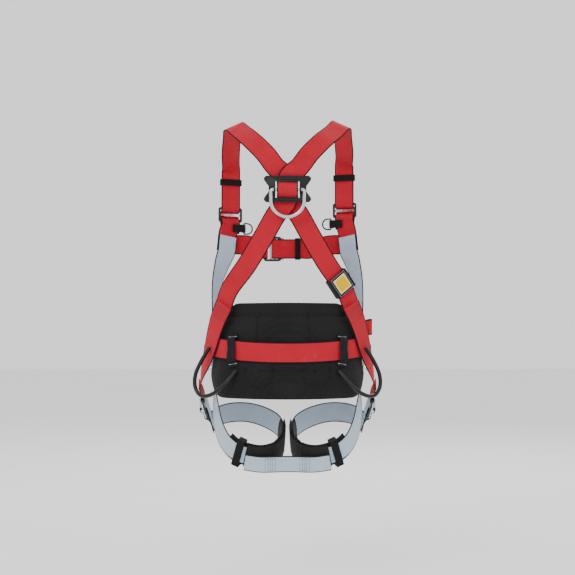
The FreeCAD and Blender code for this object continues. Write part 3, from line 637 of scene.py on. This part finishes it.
for name, side in SIDES:
    lay_strap(f"shoulder_strap_{name}", RED)

    node = f"side_strap_{name}"
    lay_strap(node, GREY)
    for share, tag in ((0.60, "upper_tack"), (0.68, "lower_tack")):
        place = straps[node].length * share
        stitch(node, tag, bar_tack(0.019, place), DARK_THREAD)

    node = f"chest_riser_{name}"
    lay_strap(node, RED)
    middle = straps[node].length / 2
    stitch(node, "box_stitching", box_stitch(0.017, middle - 0.016, middle + 0.016))

    node = f"hip_strap_{name}"
    lay_strap(node, RED)
    if straps[node].middle[0][2] < straps[node].middle[-1][2]:
        straps[node] = straps[node].turned()
    seam(node)

    lay_strap(f"side_ring_tab_{name}", GREY)
    lay_looped_strap(
        f"leg_strap_{name}", f"leg_buckle_catch_{name}", f"leg_catch_{name}_lift",
        GREY, (side * THIGH_MIDDLE, 0),
    )

    node = f"belt_keeper_{name}"
    lay_strap(node, BLACK)
    for share, tag in ((0.08, "top_tack"), (0.92, "bottom_tack")):
        tack = bar_tack(0.0105, straps[node].length * share, 0.0014, 18)
        stitch(node, tag, tack, PALE_THREAD)

    lay_strap(f"parking_tab_{name}", BLACK)

lay_strap("chest_strap_left", RED)
lay_looped_strap("chest_strap_right", "chest_buckle_catch", "chest_catch_lift", RED)
lay_looped_strap("waist_belt", "belt_buckle_catch", "belt_catch_lift", RED)
lay_strap("sub_pelvic_strap", GREY)
for name, side in SIDES:
    middle = straps["sub_pelvic_strap"].length * (0.5 + side * 0.20)
    runs = box_stitch(LADDER_HALF, middle - LADDER_TALL, middle + LADDER_TALL, cross=False)
    for rung in (middle - LADDER_RUNG, middle, middle + LADDER_RUNG):
        runs.append([(-LADDER_HALF, rung), (LADDER_HALF, rung)])
    stitch("sub_pelvic_strap", f"ladder_stitching_{name}", runs, DARK_THREAD)
lay_strap("hip_tab", RED, FINE_STEP)
tab = straps["hip_tab"]
tip = tab.places[np.argmax(tab.middle[:, 0])]
# The tab's outer layer is its longer one, so it lies on the far side of the fold's tip.
place = tip + (0.009 if tip < tab.length / 2 else -0.009)
stitch("hip_tab", "stitching", bar_tack(0.0155, place))


# ---- the looks of the frame's own hard pieces --------------------------------------------------
def finish(node, material, bevel=0.0005):
    """A hard piece stays the frame's own mesh, with softened edges and its finish."""
    piece = NODES[node]
    piece.data.materials.clear()
    piece.data.materials.append(material)
    piece.modifiers.new("weld", "WELD").merge_threshold = SAME_PLACE
    if bevel:
        edge = piece.modifiers.new("edges", "BEVEL")
        edge.width, edge.segments = bevel, 2
        edge.limit_method, edge.angle_limit = "ANGLE", math.radians(40)
    piece.modifiers.new("normals", "WEIGHTED_NORMAL").keep_sharp = False


finish("dorsal_plate", PLASTIC)
finish("dorsal_ring", FORGED, 0)
for name, _ in SIDES:
    finish(f"side_ring_{name}", FORGED, 0)
    finish(f"parking_ring_{name}", PLASTIC, 0)
    finish(f"adjuster_frame_{name}", COATED)
    finish(f"adjuster_bar_{name}", BRIGHT, 0.0003)
for kind, ends in (("belt", ("",)), ("chest", ("",)), ("leg", ("_left", "_right"))):
    for end in ends:
        finish(f"{kind}_buckle_frame{end}", COATED)
        finish(f"{kind}_buckle_catch{end}", FORGED)
        finish(f"{kind}_buckle_bar{end}", BRIGHT, 0.0003)


# ---- tool loops --------------------------------------------------------------------------------
TOOL_TUBE = 0.0044


def ridge(share):
    """A tool loop's thickness along it: shallow rings between two plain ends."""
    return 1 + 0.02 * math.sin(share * 260) if 0.1 < share < 0.9 else 0.97


for name, _ in SIDES:
    node = f"tool_loop_{name}"
    line = np.array([ring.mean(0) for ring in rings_of(node, 10)])
    at = spans(line)
    places = np.linspace(0, at[-1], round(at[-1] / 0.0025))
    piece = tube_piece(f"{node}_tube", curve_at(line, at, places), TOOL_TUBE, TUBE, ridge)
    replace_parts(piece, node)


# ---- padding -----------------------------------------------------------------------------------
def soft_copy(node, name, material, quilt=None, levels=2):
    """A padded piece: the frame's solid, rounded by subdivision and pressed in along its seams."""
    mesh = NODES[node].data.copy()
    mesh.name = name
    piece = bpy.data.objects.new(name, mesh)
    piece.matrix_world = NODES[node].matrix_world.copy()
    bpy.context.scene.collection.objects.link(piece)
    piece.data.materials.clear()
    piece.data.materials.append(material)
    piece.modifiers.new("weld", "WELD").merge_threshold = SAME_PLACE
    piece.modifiers.new("cut", "SUBSURF").levels = levels
    graph = bpy.context.evaluated_depsgraph_get()
    whole = bpy.data.meshes.new_from_object(piece.evaluated_get(graph))
    piece.modifiers.clear()
    piece.data = whole
    if quilt:
        co = points_of(whole)
        pressed = co + points_of(whole, "normal") * quilt(co)[:, None]
        whole.vertices.foreach_set("co", pressed.reshape(-1))
    whole.polygons.foreach_set("use_smooth", [True] * len(whole.polygons))
    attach(piece, "webbing")
    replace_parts(piece, node)


def groove(distance, wide, deep):
    """How far a surface is pressed in, by its distance from a sewn line."""
    return -deep * np.exp(-((distance / wide) ** 2))


# The waist pad's sewn lines: two across it, two upright ones, and an arc on each side low down.
TOP_SEAM, LOW_SEAM = 0.078, -0.040
UPRIGHTS, UPRIGHT_FOOT = (-0.064, 0.045), 0.020
ARC_MIDDLE, ARC_RADIUS, ARC_FLAT = 0.060, 0.030, 0.8
PAD_REAR = -0.02


def waist_quilt(co):
    """The waist pad's channels, which are only on its rear face."""
    x, z = co[:, 0], co[:, 2]
    lift = groove(np.abs(z - TOP_SEAM), 0.0034, 0.0034)
    lift += groove(np.abs(z - LOW_SEAM), 0.0036, 0.0034) * (np.abs(x) < ARC_MIDDLE)
    for at in UPRIGHTS:
        lift += groove(np.abs(x - at), 0.0036, 0.0032) * (z > UPRIGHT_FOOT) * (z < TOP_SEAM)
    arc = np.hypot(np.abs(x) - ARC_MIDDLE, (z - LOW_SEAM) * ARC_FLAT)
    below = (z < LOW_SEAM + 0.004) * (np.abs(x) < ARC_MIDDLE + 0.050)
    lift += groove(np.abs(arc - ARC_RADIUS), 0.0034, 0.0032) * below
    return lift * (co[:, 1] < PAD_REAR)


LEG_PITCH = 0.030


def leg_quilt(co):
    """Channels across a leg pad, one every pitch from front to back."""
    return groove(np.abs(np.abs(co[:, 1]) % LEG_PITCH - LEG_PITCH / 2), 0.0026, 0.0016)


soft_copy("waist_pad", "waist_pad_cushion", PAD, waist_quilt, levels=3)
for name, _ in SIDES:
    soft_copy(f"leg_pad_{name}", f"leg_pad_{name}_cushion", PAD, leg_quilt)
    soft_copy(f"leg_pad_cover_{name}", f"leg_pad_cover_{name}_shell", BINDING)


# ---- elastic bands and the label sleeve --------------------------------------------------------
def band_copy(node, material, body):
    """A band keeps its solid's form, with rounded edges, in its own material."""
    mesh = NODES[node].data.copy()
    piece = bpy.data.objects.new(f"{node}_band", mesh)
    piece.matrix_world = NODES[node].matrix_world.copy()
    bpy.context.scene.collection.objects.link(piece)
    mesh.materials.clear()
    mesh.materials.append(material)
    piece.modifiers.new("weld", "WELD").merge_threshold = SAME_PLACE
    edge = piece.modifiers.new("edges", "BEVEL")
    edge.width, edge.segments = 0.0004, 2
    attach(piece, body)
    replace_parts(piece, node)


for name, _ in SIDES:
    band_copy(f"leg_keeper_{name}", ELASTIC, "webbing")
    band_copy(f"shoulder_keeper_{name}", ELASTIC, f"shoulder_keeper_{name}")
band_copy("chest_keeper", ELASTIC, "chest_keeper")
band_copy("label_sleeve", BLACK, "webbing")


# ---- the label ---------------------------------------------------------------------------------
def label_card(cells=24):
    """The card as a fine grid, so that its printed border can follow its edge."""
    middle, ways, size = flat_frame("label_card")
    vertices, weave, faces = [], [], []
    for level in (0.5, -0.5):
        for i in range(cells + 1):
            for j in range(cells + 1):
                u, v = (i / cells - 0.5) * size[0], (j / cells - 0.5) * size[1]
                vertices.append(middle + ways[0] * u + ways[1] * v + ways[2] * size[2] * level)
                weave.append((u, v, min(size[0] / 2 - abs(u), size[1] / 2 - abs(v))))
    row, layer = cells + 1, (cells + 1) ** 2
    for i in range(cells):
        for j in range(cells):
            a, b, c, d = i * row + j, (i + 1) * row + j, (i + 1) * row + j + 1, i * row + j + 1
            faces += [(a, b, c, d), (layer + d, layer + c, layer + b, layer + a)]
    rim = [i * row for i in range(cells)] + [cells * row + j for j in range(cells)]
    rim += [(cells - i) * row + cells for i in range(cells)] + [cells - j for j in range(cells)]
    for a, b in zip(rim, rim[1:] + rim[:1]):
        faces.append((a, layer + a, layer + b, b))
    piece = mesh_object("label_card_laminate", vertices, faces, CARD, "webbing", weave)
    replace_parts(piece, "label_card")
    return middle, ways, size


# The stitching round the card: how far off the card it is on its long and short sides, from one
# stitch to the next, a stitch's length, and its thread's radius.
BORDER_OFF = (0.0045, 0.0035)
BORDER_PITCH, BORDER_STITCH, BORDER_THREAD = 0.0032, 0.0023, 0.0005
BORDER_RINGS = ((-0.5, 0.4), (-0.25, 1), (0.25, 1), (0.5, 0.4))


def label_border(middle, ways, size):
    """Running stitches round the card, on the sleeve's face."""
    half = (size[0] / 2 + BORDER_OFF[0], size[1] / 2 + BORDER_OFF[1])
    corners = [(-half[0], -half[1]), (half[0], -half[1]), (half[0], half[1]), (-half[0], half[1])]
    vertices, faces = [], []
    for (u0, v0), (u1, v1) in zip(corners, corners[1:] + corners[:1]):
        long = math.hypot(u1 - u0, v1 - v0)
        count = round(long / BORDER_PITCH)
        way = (ways[0] * (u1 - u0) + ways[1] * (v1 - v0)) / long
        side = np.cross(way, ways[2])
        for k in range(count):
            centre = middle + ways[0] * (u0 + (u1 - u0) * (k + 0.5) / count)
            centre = centre + ways[1] * (v0 + (v1 - v0) * (k + 0.5) / count) - ways[2] * size[2] / 2
            base = len(vertices)
            for share, fat in BORDER_RINGS:
                for q in range(THREAD_SIDES):
                    a = 2 * math.pi * q / THREAD_SIDES
                    ring = side * math.cos(a) + ways[2] * THREAD_FLAT * math.sin(a)
                    vertices.append(centre + way * BORDER_STITCH * share + ring * BORDER_THREAD * fat)
            faces += [tuple(base + i for i in f) for f in skin(len(BORDER_RINGS), THREAD_SIDES)]
    mesh_object("label_sleeve_stitching", vertices, faces, PALE_THREAD, "webbing")


label_border(*label_card())


# ---- light, floor and camera -------------------------------------------------------------------
def stage_piece(made):
    bpy.context.scene.collection.objects.link(made)


FLOOR = -0.50
FLOOR_REACH = 9
LENS, SENSOR = 100.0, 36.0
# The camera looks level from behind at a plane this far back, and takes in this width of it.
MIDDLE = 0.1387
BACK = -0.11
VIEW_WIDE = 1.236
DISTANCE = VIEW_WIDE * LENS / SENSOR

floor_mesh = bpy.data.meshes.new("floor")
corners = ((-1, -1), (1, -1), (1, 1), (-1, 1))
floor_mesh.from_pydata([(x * FLOOR_REACH, y * FLOOR_REACH, FLOOR) for x, y in corners], [], [(0, 1, 2, 3)])
pale = Shader("studio_floor", 0.9)
pale.set("Base Color", pale.mix(pale.noise(3.0), rgb(0.86, 0.86, 0.86), rgb(0.92, 0.92, 0.92)))
floor_mesh.materials.append(pale.material)
stage_piece(bpy.data.objects.new("floor", floor_mesh))


def lamp(name, place, aim, size, power):
    """A square area light that faces a point."""
    data = bpy.data.lights.new(name, "AREA")
    data.size, data.energy = size, power
    made = bpy.data.objects.new(name, data)
    made.location = place
    made.rotation_euler = (Vector(aim) - Vector(place)).to_track_quat("-Z", "Y").to_euler()
    stage_piece(made)


lamp("key", (-1.6, -2.6, 2.4), (0, 0, 0.1), 1.1, 46)
lamp("fill", (2.2, -2.0, 1.0), (0, 0, 0.1), 2.0, 10)
lamp("rim", (0.4, 2.4, 2.0), (0, 0, 0.2), 1.4, 45)

world = bpy.data.worlds.new("studio")
world.use_nodes = True
world.node_tree.nodes["Background"].inputs["Color"].default_value = rgb(1, 1, 1)
world.node_tree.nodes["Background"].inputs["Strength"].default_value = 1.25
bpy.context.scene.world = world

camera = bpy.data.cameras.new("camera")
camera.lens, camera.sensor_width = LENS, SENSOR
seen = bpy.data.objects.new("camera", camera)
seen.location = (0, BACK - DISTANCE, MIDDLE)
seen.rotation_euler = (math.pi / 2, 0, 0)
stage_piece(seen)
bpy.context.scene.camera = seen
